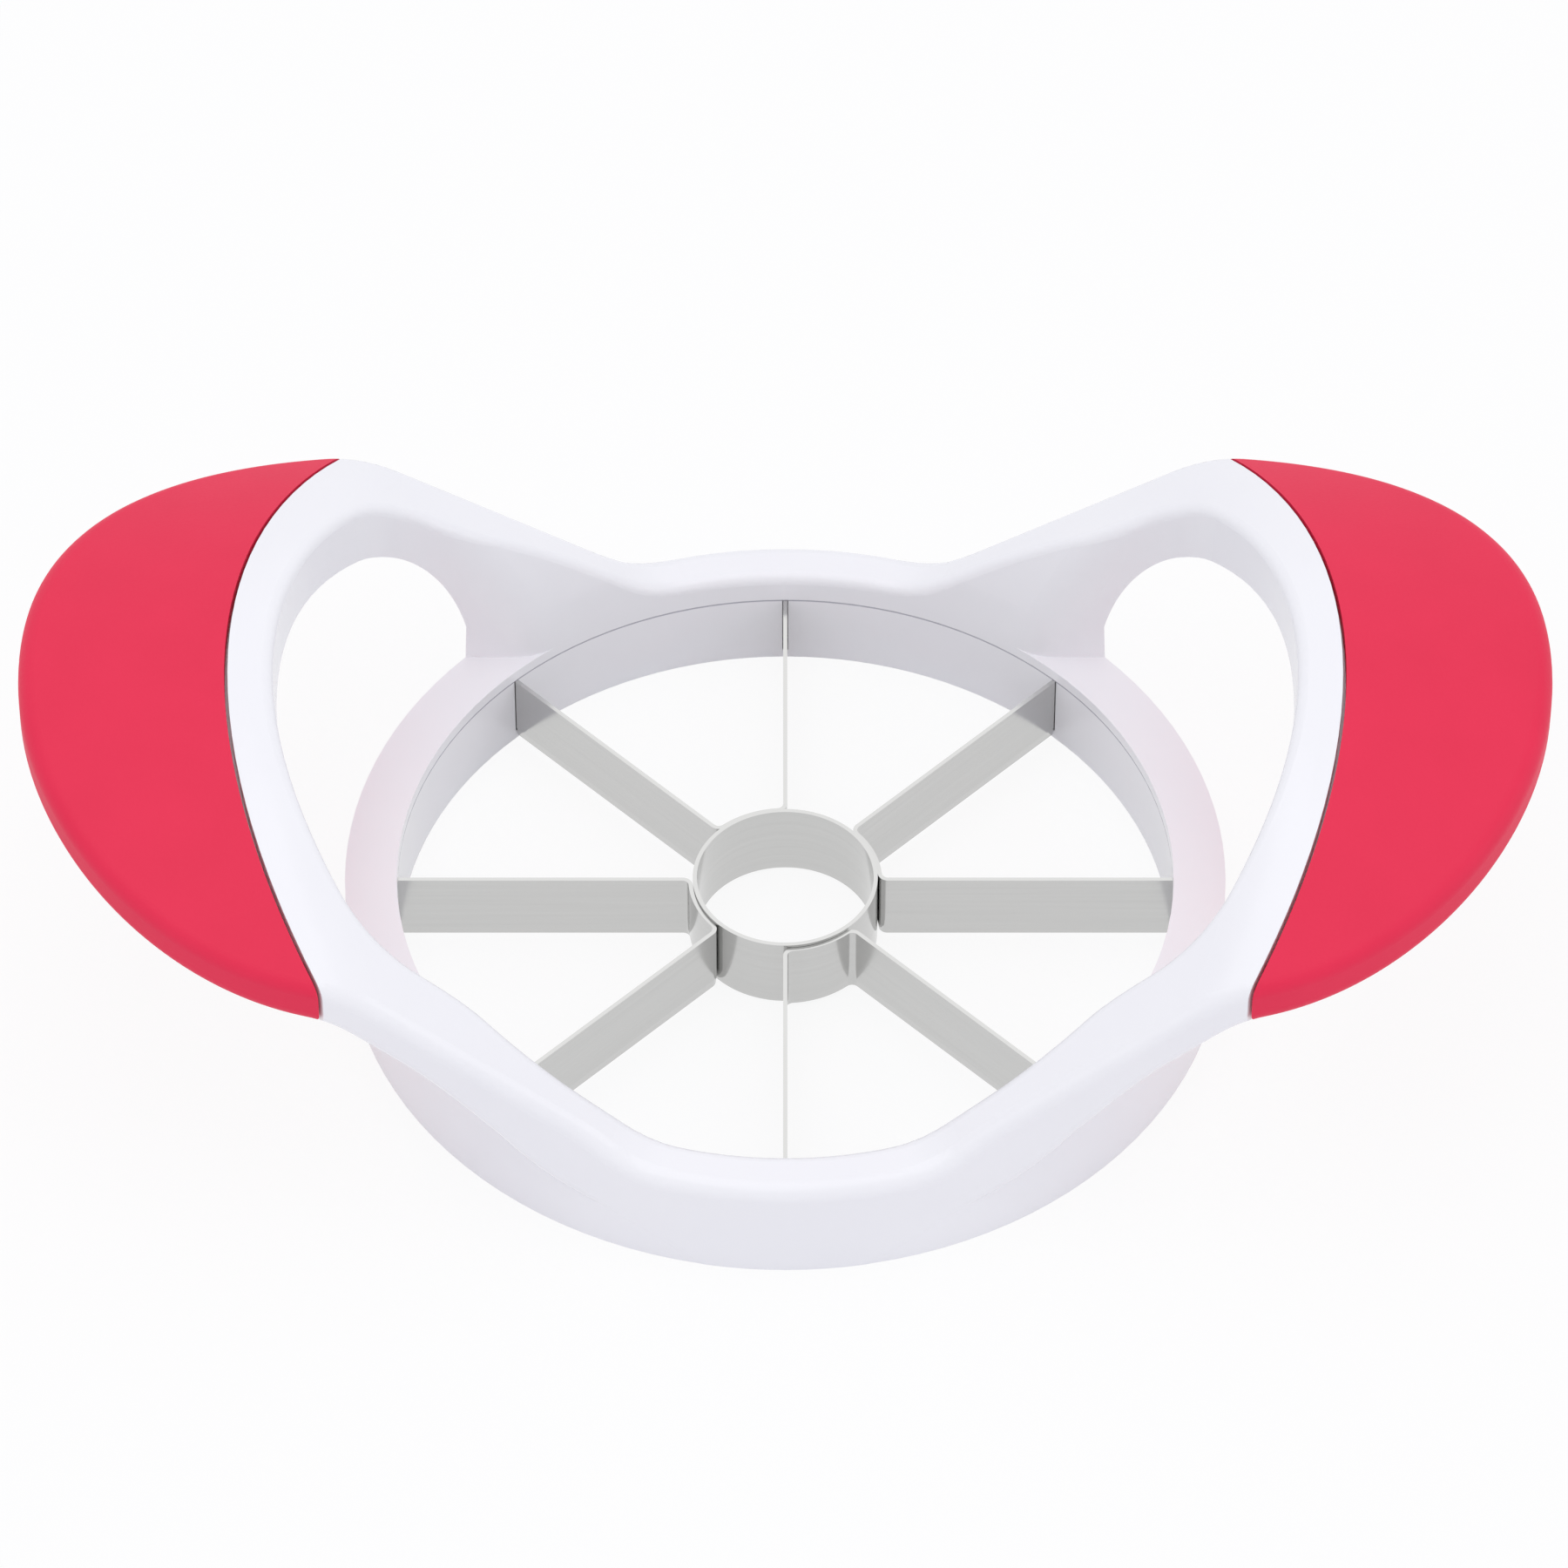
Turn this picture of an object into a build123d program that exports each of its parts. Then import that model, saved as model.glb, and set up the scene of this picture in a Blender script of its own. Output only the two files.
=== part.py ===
from build123d import *
import math
import os

# Fruit slicer: a cutting ring with eight blades, a core ring and two raised handle loops.
# Millimetres and degrees. The origin is on the table under the ring's centre, +X is the right
# handle and +Z is up.

# Cutting ring
fruit_radius = 46.5  # inner wall that the fruit passes
ring_wall = 6.3
ring_height = 13.8  # top of the ring at front and back
saddle_drop = 2.3  # how much lower the ring's top is under the handles
foot_step = 0.05  # the outer wall is this much smaller below the arms
flare_angle = 21  # slope of the wall above the ring, from upright
flare_blend = 20  # radius where the slope starts

# Handle loops: a crowned slab that rises as an arm and runs level under the hand
arm_start = 8.1  # where the arm's top line leaves the ring's top, on the centre plane
arm_crown = 220  # radius across the arm
grip_height = 49.2
grip_crown = 92  # radius across the grip
slab_thickness = 6.3
foot_bend = 12  # radius between ring top and arm
crest_bend = 6  # radius between arm and grip, on the underside
edge_round = 2  # outer edges of ring, arms and grips
mouth_round = 1.4  # edges round the fruit mouth and finger openings

# Outline from above
arm_inset = 1.9  # arm's side line inside the ring's wall, at the centre plane
arm_width = 15.5
arm_taper = 7.9  # slope of the arm's side line
waist_radius = 25  # hollow between ring and arm
tip_radius = 55
tip_angle = 8.1  # half the tip's arc, before the rounder shoulders start

# Finger openings, sized at the saddle
finger_gap = 5.6  # ring to loop
finger_corner = 12
finger_draft = 2.5
ridge_round = 8  # where a finger opening meets the fruit mouth

# Gusset under the arm, beside the finger opening
gusset_radius = 15
gusset_corner = 10
gusset_width = 2.5  # past the finger opening's side
gusset_inset = 0.6  # inside the ring's wall

# Grips moulded over tongues of the frame
loop_width = 7  # finger opening to the line between frame and grip
grip_length = 24.4
seam_radius = 84.7
seam_gap = 0.4
skin = 2  # grip above and below the tongue
skin_side = 4  # grip round the tongue's edge
tongue_root = 2.5  # how far the tongue starts inside the frame
key_diameter = 6  # holes through the tongue that key the grip
key_spacing = 20
key_count = 3
key_place = 0.37  # share of the grip's length between seam and keys

# Blades and core ring
blade_lift = 0.5  # cutting edges above the table
strip_height = 9.5
strip_thickness = 0.5
strip_count = 4
core_radius = 10.6
core_wall = 0.5
core_height = 9.9
weld_gap = 0.03  # strip to core ring
bend_radius = 1
bevel_height = 1.3
bevel_depth = 0.17

# Blade ring pressed into the frame
blade_ring_wall = 3
press_gap = 0.05
bead = 0.35  # snap bead round the ring
bead_height = 5
slot_gap = 0.1  # beside the blade's end
slot_floor = 1.2  # ring left under the blade's end
tab_length = 2  # blade's end inside the ring

# Sizes that follow from these
ring_radius = fruit_radius + ring_wall
foot_radius = ring_radius - foot_step
saddle_height = ring_height - saddle_drop
arm_spread = ring_radius - arm_inset
finger_half_width = arm_spread - arm_width
finger_radius = ring_radius + finger_gap
seam_reach = finger_radius + loop_width
seam_centre = seam_reach - seam_radius
handle_reach = seam_reach + grip_length
blade_top = blade_lift + strip_height
rebate_radius = fruit_radius + blade_ring_wall + press_gap

# Room beyond the part for the cutting solids
margin = 16
side_room = 2
reach = handle_reach + margin
sky = grip_height + margin
block_half_width = ring_radius + side_room

slope = math.atan2(grip_height - ring_height, finger_radius - arm_start)
arm_plane = Plane((arm_start, 0, ring_height), (0, 1, 0), (math.cos(slope), 0, math.sin(slope)))
grip_plane = Plane((0, 0, grip_height), (0, 1, 0), (1, 0, 0))
os.makedirs("parts", exist_ok=True)


def crowned_cylinder(plane, crown, depth, mode=Mode.ADD):
    """The round bar whose top is the crowned surface of an arm or a grip, lowered by a depth."""
    with BuildSketch(plane) as section:
        with Locations((0, -crown)):
            Circle(crown - depth)
    extrude(section.sketch, amount=2 * reach, both=True, mode=mode)


def keep_right_half(half_width):
    with BuildSketch(Plane.XY.offset(-sky)) as window:
        with Locations((reach / 2, 0)):
            Rectangle(reach, 2 * half_width)
    extrude(window.sketch, amount=2 * sky, mode=Mode.INTERSECT)


def handle_block(depth):
    """All that lies under the arm and the grip, lowered by a depth, with the bend between them."""
    with BuildPart() as block:
        crowned_cylinder(arm_plane, arm_crown, depth)
        crowned_cylinder(grip_plane, grip_crown, depth, Mode.INTERSECT)
        keep_right_half(block_half_width)
        across = block.edges().filter_by(lambda e: abs((e @ 0.5).Y) < 0.01)
        crest = across.filter_by(lambda e: 1 < (e @ 0.5).X < reach - 1).sort_by(Axis.Z)[-1]
        fillet(crest, crest_bend + slab_thickness - depth)
    return block.part


def lies_on(edge, solid):
    return solid.shell().distance_to(Vertex(edge @ 0.5)) < 0.01


def faces_mouth(edge):
    """An edge of the frame's top that has air beside it, towards the ring's centre."""
    middle = edge @ 0.5
    inwards = Vector(middle.X, middle.Y).normalized() + Vector(0, 0, 1)
    beside_mouth = not half_body.part.is_inside(middle - inwards)
    return middle.X > 0.01 and lies_on(edge, top_limit.part) and beside_mouth


def seam_cylinder(radius, mode):
    with BuildSketch() as disc:
        with Locations((seam_centre, 0)):
            Circle(radius)
    extrude(disc.sketch, amount=sky, mode=mode)


def bead_section(radius):
    with BuildLine() as section:
        low, high = bead_height - bead, bead_height + bead
        Polyline((radius - bead, low), (radius, low), (radius + bead, bead_height), (radius, high),
                 (radius - bead, high), close=True)
    make_face(section.edges())


# Outline of ring and handle: side lines, shoulder arcs and tip arc, tangent to each other
tip_centre = handle_reach - tip_radius
taper = math.radians(arm_taper)
tip_turn = math.radians(tip_angle)
side_distance = arm_spread * math.cos(taper) - tip_centre * math.sin(taper)
lean = math.sin(taper + tip_turn)
shoulder_radius = (side_distance - tip_radius * lean) / (1 - lean)
arc_step = tip_radius - shoulder_radius
shoulder_x = tip_centre + arc_step * math.cos(tip_turn)
shoulder_y = arc_step * math.sin(tip_turn)
shoulder_sweep = 90 - arm_taper - tip_angle

with BuildSketch() as outline:
    with BuildLine():
        back = CenterArc((shoulder_x, shoulder_y), shoulder_radius, tip_angle, shoulder_sweep)
        CenterArc((tip_centre, 0), tip_radius, -tip_angle, 2 * tip_angle)
        front = CenterArc((shoulder_x, -shoulder_y), shoulder_radius, arm_taper - 90, shoulder_sweep)
        Polyline(back @ 1, (0, arm_spread), (0, -arm_spread), front @ 0)
    make_face()
    Circle(ring_radius)
    arc_ends = outline.vertices().filter_by(lambda v: v.X > 1).sort_by(Axis.X)
    fillet(arc_ends[:2], waist_radius)

with BuildPart() as plan:
    extrude(outline.sketch, amount=sky)

# Top of the frame: level on the ring, then arm and grip
with BuildPart() as top_limit:
    add(handle_block(0))
    with BuildSketch(Plane.XY.offset(-ring_height)):
        with Locations((ring_radius / 2, 0)):
            Rectangle(ring_radius, 2 * block_half_width)
    extrude(amount=2 * ring_height)
    level = top_limit.edges().filter_by(lambda e: abs((e @ 0.5).Z - ring_height) < 0.01)
    fillet(level.filter_by(lambda e: abs((e @ 0.5).X - arm_start) < 0.01), foot_bend)

# Air under the arm and the grip, round a gusset that fills the corner beside the ring
gusset_half_width = finger_half_width + gusset_width
corner_radius = foot_radius - gusset_inset - gusset_corner
gusset_reach = gusset_corner + math.sqrt(corner_radius**2 - (gusset_half_width - gusset_corner) ** 2)


def beside_gusset(edge):
    middle = edge @ 0.5
    beside_post = middle.X < gusset_reach + 0.01 and abs(middle.Y) < gusset_half_width + 0.01
    return beside_post and middle.X > 0.01 and middle.Z > 0


with BuildPart() as under_limit:
    crowned_cylinder(arm_plane, arm_crown, slab_thickness)
    keep_right_half(ring_radius + 2 * gusset_radius)
    with BuildSketch(Plane.XY.offset(-sky)):
        RectangleRounded(2 * gusset_reach, 2 * gusset_half_width, gusset_corner)
    extrude(amount=2 * sky, mode=Mode.SUBTRACT)
    fillet(under_limit.edges().filter_by(beside_gusset).filter_by(Axis.Z, reverse=True), gusset_radius)
    add(handle_block(slab_thickness), mode=Mode.INTERSECT)

# Ring below the arms
with BuildPart() as foot:
    with BuildSketch():
        Circle(foot_radius)
    extrude(amount=sky)
    add(Pos(0, 0, -slab_thickness / 2) * top_limit.part, mode=Mode.INTERSECT)

# Fruit mouth and finger openings
with BuildPart() as opening:
    with BuildSketch(Plane.XZ) as mouth:
        with BuildLine():
            flare = (sky - ring_height) * math.tan(math.radians(flare_angle))
            Polyline((0, -ring_height), (fruit_radius, -ring_height), (fruit_radius, ring_height),
                     (fruit_radius + flare, sky), (0, sky), close=True)
        make_face()
        fillet(mouth.vertices().sort_by_distance((fruit_radius, ring_height))[0], flare_blend)
    revolve(axis=Axis.Z)
    with BuildSketch(Plane.XY.offset(saddle_height)) as finger:
        Circle(finger_radius)
        Rectangle(3 * finger_radius, 2 * finger_half_width, mode=Mode.INTERSECT)
        fillet(finger.vertices(), finger_corner)
    extrude(amount=sky, taper=-finger_draft)

# Right half of the moulding, frame and grip together
with BuildPart() as half_body:
    add(top_limit.part)
    add(plan.part, mode=Mode.INTERSECT)
    add(under_limit.part, mode=Mode.SUBTRACT)
    rim = half_body.edges().filter_by(lambda e: lies_on(e, plan.part) and (e @ 0.5).X > 0.01)
    upper = rim.filter_by(lambda e: lies_on(e, top_limit.part))
    lower = rim.filter_by(lambda e: lies_on(e, under_limit.part) and (e @ 0.5).Z > 0.1)
    fillet(upper + lower, edge_round)
    add(foot.part)
    add(opening.part, mode=Mode.SUBTRACT)
    walls = half_body.edges().filter_by(lambda e: lies_on(e, opening.part) and (e @ 0.5).X > 0.01)
    inner = walls.filter_by(lambda e: not lies_on(e, top_limit.part) and not lies_on(e, under_limit.part))
    rising = inner.filter_by(lambda e: abs((e @ 0).Z - (e @ 1).Z) > 0.1)
    fillet(rising.filter_by(lambda e: (e @ 0.5).X < finger_half_width + 1), ridge_round)
    fillet(half_body.edges().filter_by(faces_mouth), mouth_round)

# Tongue inside the grip, with holes that key the grip to it
with BuildPart() as tongue:
    crowned_cylinder(grip_plane, grip_crown, skin)
    crowned_cylinder(grip_plane, grip_crown, slab_thickness - skin, Mode.SUBTRACT)
    with BuildSketch():
        offset(outline.sketch, amount=-skin_side)
    extrude(amount=sky, mode=Mode.INTERSECT)
    seam_cylinder(seam_radius - tongue_root, Mode.SUBTRACT)
    with BuildSketch():
        with Locations((seam_reach + key_place * grip_length, 0)):
            with GridLocations(0, key_spacing, 1, key_count):
                Circle(key_diameter / 2)
    extrude(amount=sky, mode=Mode.SUBTRACT)

with BuildPart() as right_grip:
    add(half_body.part)
    seam_cylinder(seam_radius + seam_gap / 2, Mode.SUBTRACT)
    add(tongue.part, mode=Mode.SUBTRACT)

with BuildPart() as left_grip:
    mirror(right_grip.part, about=Plane.YZ)

with BuildPart() as frame:
    add(half_body.part)
    seam_cylinder(seam_radius - seam_gap / 2, Mode.INTERSECT)
    add(tongue.part)
    mirror(about=Plane.YZ)
    with BuildSketch():
        Circle(rebate_radius)
    extrude(amount=blade_top, mode=Mode.SUBTRACT)
    with BuildSketch(Plane.XZ):
        bead_section(rebate_radius)
    revolve(axis=Axis.Z, mode=Mode.SUBTRACT)

with BuildPart() as blade_ring:
    with BuildSketch():
        Circle(rebate_radius - press_gap)
        Circle(fruit_radius, mode=Mode.SUBTRACT)
    extrude(amount=blade_top)
    with BuildSketch(Plane.XZ):
        bead_section(rebate_radius - press_gap)
    revolve(axis=Axis.Z)
    with BuildSketch(Plane.XY.offset(slot_floor)):
        with PolarLocations(fruit_radius, 2 * strip_count):
            Rectangle(2 * (tab_length + slot_gap), strip_thickness + 2 * slot_gap)
    extrude(amount=blade_top, mode=Mode.SUBTRACT)

with BuildPart() as core_ring:
    with BuildSketch(Plane.XY.offset(blade_lift)):
        Circle(core_radius + core_wall)
        Circle(core_radius, mode=Mode.SUBTRACT)
    extrude(amount=core_height)


def blade_strip(turn):
    """Two blades and the lap round the core ring between them, bent from one strip."""
    base = Plane.XY.offset(blade_lift).rotated((0, 0, turn))
    lap_radius = core_radius + core_wall + weld_gap + strip_thickness / 2
    blade_angle = 180 / strip_count
    blade_end = fruit_radius + tab_length
    with BuildPart() as strip:
        with BuildSketch(base):
            with BuildLine() as route:
                lap = CenterArc((0, 0), lap_radius, 0, blade_angle)
                Line(lap @ 0, (blade_end, 0))
                PolarLine(lap @ 1, blade_end - lap_radius, blade_angle)
                bends = route.vertices().filter_by(lambda v: v.distance_to(Vertex()) < fruit_radius)
                fillet(bends, bend_radius)
            trace(line_width=strip_thickness)
        extrude(amount=strip_height)
        bottom = strip.faces().sort_by(Axis.Z)[0]
        long_edges = bottom.edges().filter_by(lambda e: e.length > fruit_radius / 2)
        chamfer(long_edges, bevel_depth, bevel_height, reference=bottom)
        with BuildSketch(base):
            with PolarLocations(blade_end, 2, 0, 2 * blade_angle):
                Rectangle(2 * (tab_length + slot_gap), 2 * bend_radius)
        extrude(amount=slot_floor - blade_lift, mode=Mode.SUBTRACT)
    return strip


pieces = {"frame": frame, "blade_ring": blade_ring, "core_ring": core_ring, "left_grip": left_grip,
          "right_grip": right_grip}
for number in range(strip_count):
    pieces[f"blade_strip_{number + 1}"] = blade_strip(number * 360 / strip_count)
for name, piece in pieces.items():
    piece.part.label = name
    export_step(piece.part, f"parts/{name}.step")
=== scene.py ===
import math

import bpy
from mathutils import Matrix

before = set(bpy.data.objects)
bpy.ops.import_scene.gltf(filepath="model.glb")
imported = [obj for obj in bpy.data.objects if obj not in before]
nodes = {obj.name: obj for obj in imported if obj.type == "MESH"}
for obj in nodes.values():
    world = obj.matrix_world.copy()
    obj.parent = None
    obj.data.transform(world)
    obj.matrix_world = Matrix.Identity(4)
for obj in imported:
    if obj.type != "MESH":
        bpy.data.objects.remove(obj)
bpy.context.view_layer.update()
print("frame loaded:", len(nodes), "pieces")

mm = 0.001
white = (1, 1, 1, 1)


# sRGB hex to the linear colour that shaders take
def linear(hexColour):
    channels = [int(hexColour[i:i + 2], 16) / 255 for i in (1, 3, 5)]
    return [c / 12.92 if c <= 0.04045 else ((c + 0.055) / 1.055) ** 2.4 for c in channels] + [1]


# Empties the node tree of a material or a world
def emptyTree(owner):
    owner.use_nodes = True
    owner.node_tree.nodes.clear()
    return owner.node_tree


# Adds a node: settings are its properties, inputs are values or sockets that feed it.
# An input goes by its name, or by its number after an underscore.
def addNode(tree, kind, settings=None, **inputs):
    node = tree.nodes.new(kind)
    for name, value in (settings or {}).items():
        setattr(node, name, value)
    for name, value in inputs.items():
        key = int(name[1:]) if name[0] == "_" else name.replace("_", " ")
        if isinstance(value, bpy.types.NodeSocket):
            tree.links.new(value, node.inputs[key])
        else:
            node.inputs[key].default_value = value
    return node


def calculate(tree, operation, *values):
    inputs = {f"_{number}": value for number, value in enumerate(values)}
    return addNode(tree, "ShaderNodeMath", {"operation": operation}, **inputs).outputs[0]


# The mix node has its colours at inputs 6 and 7 and gives its colour at output 2
def mixColours(tree, share, first, second):
    mix = addNode(tree, "ShaderNodeMix", {"data_type": "RGBA"}, Factor=share, _6=first, _7=second)
    return mix.outputs[2]


# Takes a value from 0 to 1 to the same place between two other ends
def toRange(tree, value, low, high):
    return addNode(tree, "ShaderNodeMapRange", Value=value, To_Min=low, To_Max=high).outputs[0]


def noise(tree, place, size, detail):
    return addNode(tree, "ShaderNodeTexNoise", Vector=place, Scale=1 / size, Detail=detail).outputs["Fac"]


def bumps(tree, height, depth):
    return addNode(tree, "ShaderNodeBump", Height=height, Distance=depth).outputs[0]


def newMaterial(name):
    material = bpy.data.materials.new(name)
    tree = emptyTree(material)
    place = addNode(tree, "ShaderNodeTexCoord").outputs["Object"]
    return material, tree, place


def setSurface(tree, **inputs):
    shader = addNode(tree, "ShaderNodeBsdfPrincipled", **inputs)
    addNode(tree, "ShaderNodeOutputMaterial", Surface=shader.outputs["BSDF"])


# ABS moulded in a polished tool: clear gloss, a faint cool cast, soft swim in the reflections. The joint
# colour is painted shade: a darker hairline where the blade ring meets the frame
whiteAbs = {"colour": "#F5F5F8", "flow": "#F1F1F5", "flowSize": 14 * mm, "flowDetail": 2,
            "roughness": (0.2, 0.28), "ior": 1.53,
            "peelSize": 2.5 * mm, "peelDetail": 1, "peelDepth": 0.004 * mm,
            "jointShade": "#B4B3BD", "jointShadeHalfWidth": 0.12 * mm, "wallRoom": 0.5 * mm}


# Share of the painted shade line where the blade ring's top meets the frame, on the mouth's wall only: a
# darker hairline that stands in for the shade in the joint
def jointShadeLine(tree, place, s):
    ring = [vertex.co for vertex in nodes["blade_ring"].data.vertices]
    ringTop = max(point.z for point in ring)
    ringInside = min(point.xy.length for point in ring)
    axes = addNode(tree, "ShaderNodeSeparateXYZ", Vector=place).outputs
    flat = addNode(tree, "ShaderNodeCombineXYZ", X=axes["X"], Y=axes["Y"]).outputs[0]
    radius = addNode(tree, "ShaderNodeVectorMath", {"operation": "LENGTH"}, _0=flat).outputs["Value"]
    onWall = calculate(tree, "LESS_THAN", radius, ringInside + s["wallRoom"])
    level = calculate(tree, "COMPARE", axes["Z"], ringTop, s["jointShadeHalfWidth"])
    return calculate(tree, "MULTIPLY", onWall, level)


def makeWhiteAbs():
    s = whiteAbs
    material, tree, place = newMaterial("white gloss ABS")
    flow = noise(tree, place, s["flowSize"], s["flowDetail"])
    peel = noise(tree, place, s["peelSize"], s["peelDetail"])
    tint = mixColours(tree, flow, linear(s["colour"]), linear(s["flow"]))
    # Painted shade: a darker hairline along the joint between the blade ring and the frame
    tintWithJointShade = mixColours(tree, jointShadeLine(tree, place, s), tint, linear(s["jointShade"]))
    setSurface(tree, Base_Color=tintWithJointShade, Roughness=toRange(tree, flow, *s["roughness"]), IOR=s["ior"],
               Normal=bumps(tree, peel, s["peelDepth"]))
    return material


# Soft-touch TPE from a spark-eroded tool: matt, even red, a fine grain that dulls the highlights.
# Real grain is about 0.1 mm, and it is drawn coarser so that it shows.
redTpe = {"colour": "#EA244E", "cloud": "#E21F48", "cloudSize": 9 * mm, "cloudDetail": 3,
          "roughness": (0.5, 0.6), "ior": 1.42,
          "grainSize": 0.35 * mm, "grainDetail": 2, "grainDepth": 0.012 * mm}


def makeRedTpe():
    s = redTpe
    material, tree, place = newMaterial("red TPE")
    cloud = noise(tree, place, s["cloudSize"], s["cloudDetail"])
    grain = noise(tree, place, s["grainSize"], s["grainDetail"])
    tint = mixColours(tree, cloud, linear(s["colour"]), linear(s["cloud"]))
    setSurface(tree, Base_Color=tint, Roughness=toRange(tree, grain, *s["roughness"]), IOR=s["ior"],
               Normal=bumps(tree, grain, s["grainDepth"]))
    return material


# Cold-rolled stainless strip: smooth grey mirror, softened by faint rolling lines along the strip.
# Real lines are about 0.05 mm wide, and they are drawn coarser so that they show.
steelStrip = {"colour": "#CCCCCB", "line": "#C5C5C4", "roughness": (0.13, 0.18),
              "lineSize": 0.5 * mm, "lineDetail": 3, "lineDepth": 0.001 * mm, "stretch": 60}


def makeSteel():
    s = steelStrip
    material, tree, place = newMaterial("rolled stainless steel")
    squeeze = 1 / s["stretch"]
    along = addNode(tree, "ShaderNodeMapping", Vector=place, Scale=(squeeze, squeeze, 1)).outputs[0]
    lines = noise(tree, along, s["lineSize"], s["lineDetail"])
    tint = mixColours(tree, lines, linear(s["colour"]), linear(s["line"]))
    setSurface(tree, Base_Color=tint, Roughness=toRange(tree, lines, *s["roughness"]), Metallic=1,
               Normal=bumps(tree, lines, s["lineDepth"]))
    return material


finishes = {"white": makeWhiteAbs(), "red": makeRedTpe(), "steel": makeSteel()}
# The core ring and the blade strips, which aren't listed, are steel
finishOf = {"frame": "white", "blade_ring": "white", "left_grip": "red", "right_grip": "red"}
for name, piece in nodes.items():
    piece.data.materials.clear()
    piece.data.materials.append(finishes[finishOf.get(name, "steel")])
print("materials done")

# Plain floor and sky, white where they are seen, with a trace of the object's shadow on the floor
studio = {"floorSize": 8, "floor": "#F4F4F6", "shadowShare": 0.12,
          "sky": "#FAFAFF", "skyStrength": 0.77, "seenStrength": 1}


# 1 for rays that show the background itself: to the camera, in a reflection or through a clear piece
def seenPath(tree):
    path = addNode(tree, "ShaderNodeLightPath").outputs
    shown = calculate(tree, "MAXIMUM", path["Is Camera Ray"], path["Is Glossy Ray"])
    return calculate(tree, "MAXIMUM", shown, path["Is Transmission Ray"])


def makeFloor():
    half = studio["floorSize"] / 2
    corners = [(-half, -half, 0), (half, -half, 0), (half, half, 0), (-half, half, 0)]
    mesh = bpy.data.meshes.new("floor")
    mesh.from_pydata(corners, [], [(0, 1, 2, 3)])
    floor = bpy.data.objects.new("floor", mesh)
    bpy.context.scene.collection.objects.link(floor)
    material = bpy.data.materials.new("white paper")
    tree = emptyTree(material)
    paper = addNode(tree, "ShaderNodeBsdfDiffuse", Color=linear(studio["floor"])).outputs[0]
    glow = addNode(tree, "ShaderNodeEmission", Color=white, Strength=studio["seenStrength"]).outputs[0]
    share = calculate(tree, "MULTIPLY", seenPath(tree), 1 - studio["shadowShare"])
    mix = addNode(tree, "ShaderNodeMixShader", _0=share, _1=paper, _2=glow)
    addNode(tree, "ShaderNodeOutputMaterial", Surface=mix.outputs[0])
    mesh.materials.append(material)


# The sky lights the part with its own colour and strength, and is plain white where it is seen
def makeSky():
    world = bpy.data.worlds.new("studio")
    bpy.context.scene.world = world
    tree = emptyTree(world)
    seen = seenPath(tree)
    colour = mixColours(tree, seen, linear(studio["sky"]), white)
    strength = toRange(tree, seen, studio["skyStrength"], studio["seenStrength"])
    sky = addNode(tree, "ShaderNodeBackground", Color=colour, Strength=strength)
    addNode(tree, "ShaderNodeOutputWorld", Surface=sky.outputs[0])


# Soft boxes that face the part: width and place in metres, power in watts
lamps = {"overhead": {"size": 0.9, "watts": 1.95, "at": (-0.1, -0.12, 0.9)},
         "rimLight": {"size": 0.8, "watts": 0.6, "at": (0, 0.75, 0.83)},
         "rightFill": {"size": 0.6, "watts": 0.85, "at": (0.85, -0.25, 0.5)},
         "leftFill": {"size": 0.6, "watts": 0.45, "at": (-0.75, -0.75, 0.4)}}


def makeLamp(name):
    s = lamps[name]
    data = bpy.data.lights.new(name, "AREA")
    data.size = s["size"]
    data.energy = s["watts"]
    lamp = bpy.data.objects.new(name, data)
    lamp.location = s["at"]
    lamp.rotation_euler = (-lamp.location).to_track_quat("-Z", "Y").to_euler()
    bpy.context.scene.collection.objects.link(lamp)


makeFloor()
makeSky()
for name in lamps:
    makeLamp(name)
print("studio done")

# Camera as fitted to the photograph: long lens, looking down at the ring from the front.
# Distance and side are in metres, angles in degrees, lens and sensor in millimetres.
view = {"distance": 1.1625, "side": -0.15 * mm, "elevation": 47.95, "raise": 0.898,
        "lens": 221.04, "sensor": 36}
lift = math.radians(view["elevation"])
camera = bpy.data.objects.new("camera", bpy.data.cameras.new("camera"))
camera.data.lens = view["lens"]
camera.data.sensor_width = view["sensor"]
camera.location = (view["side"], -view["distance"] * math.cos(lift), view["distance"] * math.sin(lift))
camera.rotation_euler = (math.radians(90 - view["elevation"] + view["raise"]), 0, 0)
bpy.context.scene.collection.objects.link(camera)
bpy.context.scene.camera = camera
bpy.context.scene.view_settings.view_transform = "Standard"
print("camera done")
